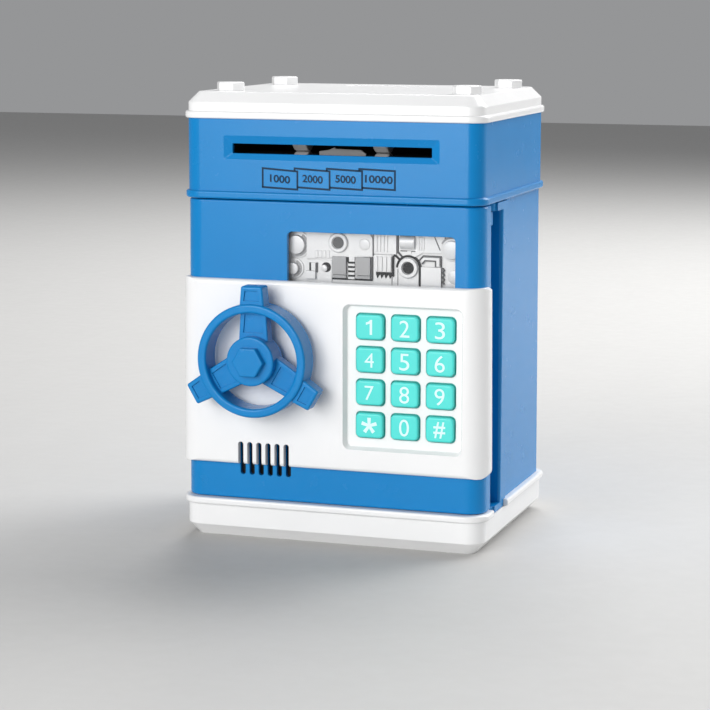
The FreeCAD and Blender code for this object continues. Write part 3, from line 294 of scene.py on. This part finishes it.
def figure_one():
    tall, stem = 6.2, 1.0
    top = tall / 2
    right = 1.2
    left = right - stem
    flag = -1.45
    foot = [(left, -top), (right, -top), (right, top), (left + 0.25, top)]
    beak = [(left - 0.5, top - 0.75), (flag, top - 1.15), (flag, top - 2.15), (left, top - 1.55)]
    return sign("one", foot + beak)


def asterisk():
    reach, tip, notch = 3.35, 0.78, 1.0
    outline = []
    for arm in range(5):
        along = math.radians(90 - 72 * arm)
        for side in (1, -1):
            x = reach * math.cos(along) - side * tip * math.sin(along)
            z = reach * math.sin(along) + side * tip * math.cos(along)
            outline.append((x, z))
        between = along - math.radians(36)
        outline.append((notch * math.cos(between), notch * math.sin(between)))
    return sign("asterisk", outline)


def key_numerals():
    """White signs printed on the key fronts."""
    special = {"1": figure_one, "star": asterisk}
    sizes = {"hash": (6.75, 5.0), "4": (5.95, 3.95), "7": (5.95, 3.9), "0": (7.0, 4.2)}
    letters = {"hash": "#"}
    for key in ("1", "2", "3", "4", "5", "6", "7", "8", "9", "star", "0", "hash"):
        if key in special:
            mesh = special[key]()
        else:
            tall, wide = sizes.get(key, (6.9, 4.2))
            weight = 0.08 if key == "hash" else -0.02
            mesh = lettering(letters.get(key, key), tall * MM, wide * MM, SIGN_THICK * MM, weight * MM)
        low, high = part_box("key_" + key)
        moved(mesh, Vector(((low.x + high.x) / 2, low.y - 0.01 * MM, (low.z + high.z) / 2)))
        piece("numeral_" + key, mesh, KEY_PRINT, "button_" + key)


# ---------------------------------------------------------------- print under the note slot

CARDS = ("1000", "2000", "5000", "10000")
CARD_PITCH = 13.9
CARD_WIDE = 15.1
CARD_INK = 0.8
CARDS_LEFT = 29.1             # from the case's middle to the first note
CARDS_LOW = 4.6               # from the upper case's lower edge to the notes
VALUE_TALL = 3.2
PROUD = 1.2                   # the case's ridge stands this far in front of its face


def slot_print():
    """Four leaning note outlines, each in front of the next, with plain values in them."""
    low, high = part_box("upper_case")
    face = low.y + PROUD * MM
    first = (low.x + high.x) / 2 - CARDS_LEFT * MM
    base = low.z + CARDS_LOW * MM
    ink = (face - 0.04 * MM, face + 0.02 * MM)
    bm = bmesh.new()
    for k, value in enumerate(CARDS):
        left = first + k * CARD_PITCH * MM
        right = left + CARD_WIDE * MM
        top_left = base + (8.4 + 0.23 * k) * MM
        top_right = base + (7.4 + 0.40 * k) * MM
        low_left = base + (0.7 + 0.27 * k) * MM
        low_right = base + 0.33 * k * MM
        corners = [(left, top_left), (right, top_right), (right, low_right)]
        if k:
            behind = left + (CARD_WIDE - CARD_PITCH) * MM
            path = [(left, top_left - 0.9 * MM), *corners, (behind, low_left)]
        else:
            path = [(left, low_left), *corners, (left - CARD_INK / 2 * MM, low_left)]
        prism(bm, ribbon_outline(path, CARD_INK * MM), *ink)

        mesh = lettering(value, VALUE_TALL * MM, (3.0 * len(value) - 3.2) * MM, 0.05 * MM, 0.09 * MM)
        lean = (top_right - top_left) / (right - left)
        for v in mesh.vertices:
            v.co.z += lean * v.co.x
        middle = (top_left + top_right + low_left + low_right) / 4
        moved(mesh, Vector(((left + right) / 2 + 0.25 * k * MM, face - 0.02 * MM, middle)))
        piece("note_value_" + value, mesh, SLOT_PRINT, "case")
    piece("note_outlines", finished(bm, "note_outlines"), SLOT_PRINT, "case")


# ---------------------------------------------------------------- moulded machinery behind the window

class Relief:
    """Draws on the relief plate: u to the right and w up from the window's lower left corner, and level
    towards the pane from the plate's face, all in millimetres."""

    def __init__(self, name):
        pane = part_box("window_pane")[0]
        self.name = name
        self.bm = bmesh.new()
        self.corner = (pane.x + 2.0 * MM, pane.z + 1.5 * MM)
        self.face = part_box("relief_plate")[0].y + 1.6 * MM
        self.root = -1.5

    def place(self, u, w, level):
        return (self.corner[0] + u * MM, self.face - level * MM, self.corner[1] + w * MM)

    def solid(self, outline, level):
        """A raised shape with a flat top at one level."""
        rings = [[self.bm.verts.new(self.place(u, w, y)) for u, w in outline] for y in (level, self.root)]
        skin(self.bm, rings)

    def tile(self, u0, u1, w0, w1, level):
        self.solid(rectangle(u0, u1, w0, w1), level)

    def line(self, points, width, level):
        self.solid(ribbon_outline(points, width), level)

    def turret(self, u, w, profile):
        """A turned shape; profile is a list of (radius, level) from its middle outwards."""
        rings = [[self.bm.verts.new(self.place(*p, level)) for p in circle(u, w, radius)]
                 for radius, level in profile]
        rings.append([self.bm.verts.new(self.place(*p, self.root)) for p in circle(u, w, profile[-1][0])])
        skin(self.bm, rings)

    def barrel(self, u0, u1, w, radius, level):
        """Half a cylinder lying along u, with its flat side at a level."""
        half = circle(0, 0, radius, 0, 180, 20)
        ends = [[self.bm.verts.new(self.place(u, w + a, level + b)) for a, b in half] for u in (u0, u1)]
        skin(self.bm, ends)

    def done(self, material, width):
        thing = piece(self.name, finished(self.bm, self.name), material, "door")
        softened(thing, width)
        return thing


WINDOW_WIDE = 71.8
WINDOW_TALL = 23.3
BLOCKS = (17.9, 28.3)         # left edges of the two grey housings
BLOCK_WIDE = 6.0
BIG_EYE = (50.5, 9.6)         # middle of the large ring under the arch
SMALL_EYE = (20.5, 18.9)
UPPER_TURRET = (2.2, 17.5)
LOWER_TURRET = (0.8, 7.6)
RIGHT_TURRET = (68.9, 17.6)


def relief_panel():
    """The light plate with its turrets, steps and ribs."""
    panel = Relief("relief_panel")
    panel.tile(-2.6, WINDOW_WIDE + 2.6, -2.0, WINDOW_TALL + 2.7, -0.9)
    top = WINDOW_TALL + 2.0
    upper_plate = [(6.5, 11.9), (35.1, 13.6), *circle(31.6, 20.2, 3.5, 0, 90, 10), (31.6, top), (6.5, top)]
    panel.solid(upper_plate, 0.0)
    panel.tile(6.5, 17.4, -2.0, 11.4, -0.45)
    panel.tile(35.7, 45.3, 14.9, top, 0.1)
    panel.tile(35.5, 43.3, -2.0, 14.5, -0.2)
    panel.solid([(46.4, top), (46.4, 16.3), (48.6, 14.2), (53.5, 14.2), (56.6, 16.0), (66, 16.0),
                 (66, top)], 0.0)
    panel.tile(66.2, WINDOW_WIDE + 2.4, -2.0, top, -0.3)
    panel.turret(*UPPER_TURRET, [(3.3, 1.55), (3.8, 1.45), (3.9, -0.3), (5.7, -0.4)])
    panel.turret(*LOWER_TURRET, [(2.0, 1.55), (2.4, 1.45), (2.5, -0.3), (4.3, -0.4)])
    panel.turret(*SMALL_EYE, [(2.4, 0.5), (2.7, 1.3), (3.7, 1.3), (4.1, 0.9)])
    panel.turret(31.7, 18.5, [(2.1, 0.25), (2.3, 0.2)])
    panel.turret(*BIG_EYE, [(2.45, 0.2), (2.7, 1.3), (3.9, 1.3), (4.15, 1.0)])
    panel.turret(*RIGHT_TURRET, [(3.4, 1.3), (3.7, 1.2), (3.8, 0.3), (4.6, 0.2)])
    panel.turret(70.2, 6.6, [(2.6, 0.9), (2.8, 0.8)])
    panel.tile(6.2, 10.6, 3.6, 6.8, 0.9)
    panel.tile(8.7, 10.6, 6.9, 10.2, 0.7)
    for k in range(4):
        panel.tile(10.4 + 1.7 * k, 11.6 + 1.7 * k, 12.4, 15.4, 0.25)
    panel.turret(14.2, 8.1, [(1.2, 0.4), (1.4, 0.3)])
    for k in range(4):
        panel.tile(24.6, 27.4, 4.0 + 1.8 * k, 5.0 + 1.8 * k, 0.0)
    panel.tile(24.9, 27.4, 11.2, 13.2, 0.0)
    for k in range(4):
        panel.tile(36.2 + 1.9 * k, 37.4 + 1.9 * k, 7.8, 13.8, 0.3)
        panel.tile(36.1 + 1.5 * k, 37.2 + 1.5 * k, 15.8, top, 0.45)
    panel.barrel(47.1, 53.3, 20.2, 3.3, -1.3)
    panel.tile(50.0, 51.8, 15.2, 16.6, 0.35)
    arch = circle(*BIG_EYE, 4.35, 0, 180, 24) + [(BIG_EYE[0] - 4.35, -2.0), (BIG_EYE[0] + 4.35, -2.0)]
    panel.solid(arch, 0.1)
    panel.tile(56.0, 64.5, -2.0, 10.3, 0.8)
    for k in range(3):
        panel.tile(54.5 + 1.1 * k, 55.1 + 1.1 * k, 17.0, 22.6, 0.2)
    panel.solid([(55.6, 12.9), (56.9, 14.2), (63.7, 14.1), (63.7, 10.6), (62.3, 10.6), (62.3, 13.0),
                 (57.4, 13.1), (56.4, 12.0)], 0.2)
    return panel.done(FINISHES["silver_relief"], 0.12)


def relief_housings():
    """The two grey housings, each with a foot, and grey arcs: painted shadow crescents beside the upper
    and lower turrets, and an arc over the right turret.
    """
    grey = Relief("relief_housings")
    # painted shadow: grey crescents on the right of the upper and lower turrets
    grey.line(circle(*UPPER_TURRET, 4.5, -100, 60, 20), 1.1, -0.2)
    grey.line(circle(*LOWER_TURRET, 3.1, -90, 70, 16), 1.0, -0.2)
    grey.line(circle(*RIGHT_TURRET, 4.9, 60, 150, 12), 0.7, 0.35)
    for left in BLOCKS:
        grey.tile(left, left + BLOCK_WIDE, 5.8, 13.3, 0.9)
        grey.tile(left, left + BLOCK_WIDE, 4.4, 5.6, 0.7)
    return grey.done(FINISHES["grey_plastic"], 0.12)


def relief_shades():
    """Mid-dark strips painted as the shade along shallow grooves around housings and frames, a painted
    shadow beside the raised block, and a darker middle for the small eye.
    """
    shade = Relief("relief_shades")
    level = 0.06
    # painted shade: mid-dark strips along grooves and edges where shade falls
    shade.line([(45.8, WINDOW_TALL + 2), (45.8, 15.9), (47.8, 13.8)], 0.55, level)
    shade.line([(55.0, 12.9), (56.6, 14.7), (64.1, 14.6), (64.1, 10.4)], 0.5, level)
    shade.line([(56.1, 11.4), (57.4, 12.8), (61.9, 12.7), (61.9, 10.4)], 0.5, level)
    shade.line([(61.5, 22.6), (63.9, 17.2)], 0.5, level)
    shade.line([(34.8, 4.2), (34.8, 13.4)], 0.6, level)
    shade.line([(35.4, 14.0), (35.4, WINDOW_TALL + 2)], 0.5, -0.1)
    shade.line([(47.0, 16.5), (53.4, 16.5)], 0.5, level)
    # painted shadow: mid-dark bar along the right side of the raised block
    shade.line([(11.0, 6.2), (11.0, 10.3)], 0.8, -0.1)
    shade.turret(*SMALL_EYE, [(2.3, 0.53), (2.45, 0.52)])
    zigzag = [(65.2 + 0.35 * (-1) ** k, 3.4 + 0.95 * k) for k in range(8)]
    shade.line(zigzag, 0.5, level)
    shade.line([(46.0, 9.0), (46.0, -1.0)], 0.3, level)
    return shade.done(SHADE, 0.05)


def relief_groove_shades():
    """The deepest grooves and holes, painted black as the shade in them, and painted shadows beside the
    raised block and under the housings.
    """
    dark = Relief("relief_groove_shades")
    level = 0.08
    u, w = BIG_EYE
    outer = circle(u, w, 5.3, 0, 180, 24)
    inner = circle(u, w, 4.45, 180, 0, 24)
    dark.solid([*outer, (u - 4.9, w), *inner], level)
    dark.tile(u + 4.45, u + 5.5, -1.5, w, level)
    dark.turret(u, w, [(2.35, 0.23), (2.5, 0.22)])
    dark.line([(43.8, 5.8), (43.8, 13.5), (44.5, 14.8), (46.7, 12.7)], 0.6, level)
    for k in range(4):
        dark.tile(24.5, 27.3, 5.05 + 1.8 * k, 5.75 + 1.8 * k, -0.1)
    dark.line([(24.4, 10.9), (24.4, 13.2)], 0.6, level)
    teeth = [(36.6, 7.5)]
    for k in range(4):
        teeth += [(36.7 + 1.8 * k, 6.4), (37.2 + 1.8 * k, 4.8), (38.1 + 1.8 * k, 6.2)]
    teeth += [(44.0, 7.5)]
    dark.solid(teeth, 0.1)
    # painted shadow: dark bar along the left side of the raised block
    dark.line([(8.1, 6.9), (8.1, 10.2)], 0.9, -0.1)
    dark.turret(15.0, 8.5, [(1.9, -0.38), (2.05, -0.4)])
    # painted shadow: dark strip under the housings' feet
    dark.tile(16, 35, 3.5, 4.3, -0.6)
    return dark.done(GROOVE_SHADE, 0.05)


def relief():
    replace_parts(relief_panel(), "relief_plate")
    relief_housings()
    relief_shades()
    relief_groove_shades()


# ---------------------------------------------------------------- room

def floor():
    bpy.ops.mesh.primitive_plane_add(size=6)
    ground = bpy.context.object
    ground.name = "floor"
    paint = moulded("floor_paint", (0.50, 0.495, 0.485), 0.55, mottle=0.01, edge=0, shine=0.25)
    ground.data.materials.append(paint)


def softbox(name, at, aim, size, power):
    light = bpy.data.lights.new(name, "AREA")
    light.shape = "RECTANGLE"
    light.size, light.size_y = size
    light.energy = power
    lamp = bpy.data.objects.new(name, light)
    lamp.location = at
    lamp.rotation_euler = (Vector(aim) - Vector(at)).to_track_quat("-Z", "Y").to_euler()
    bpy.context.scene.collection.objects.link(lamp)


def studio():
    world = bpy.data.worlds.new("studio")
    world.use_nodes = True
    sky = world.node_tree.nodes["Background"]
    sky.inputs["Color"].default_value = (0.97, 0.98, 1.0, 1)
    sky.inputs["Strength"].default_value = 0.31
    bpy.context.scene.world = world
    bpy.context.scene.view_settings.view_transform = "Standard"
    middle = (0, 0, 0.1)
    softbox("key", (-0.55, -1.35, 0.75), middle, (0.8, 0.8), 9)
    softbox("front", (-0.25, -1.7, 0.35), middle, (0.9, 0.8), 13.5)
    softbox("right", (1.0, 1.1, 0.7), middle, (1.0, 1.0), 18)
    softbox("back", (0.15, 1.0, 1.2), middle, (1.6, 1.0), 26)


def camera():
    data = bpy.data.cameras.new("camera")
    data.sensor_width = 36
    data.lens = 115.96
    view = bpy.data.objects.new("camera", data)
    turn = Matrix.Rotation(math.radians(18.505), 3, "Z")
    tilt = Matrix.Rotation(math.radians(90 - 9.039), 3, "X")
    roll = Matrix.Rotation(math.radians(0.078), 3, "Z")
    view.location = (0.3042, -0.9274, 0.2277)
    view.rotation_euler = (turn @ tilt @ roll).to_euler()
    bpy.context.scene.collection.objects.link(view)
    bpy.context.scene.camera = view


finish_cad()
key_numerals()
slot_print()
relief()
floor()
studio()
camera()
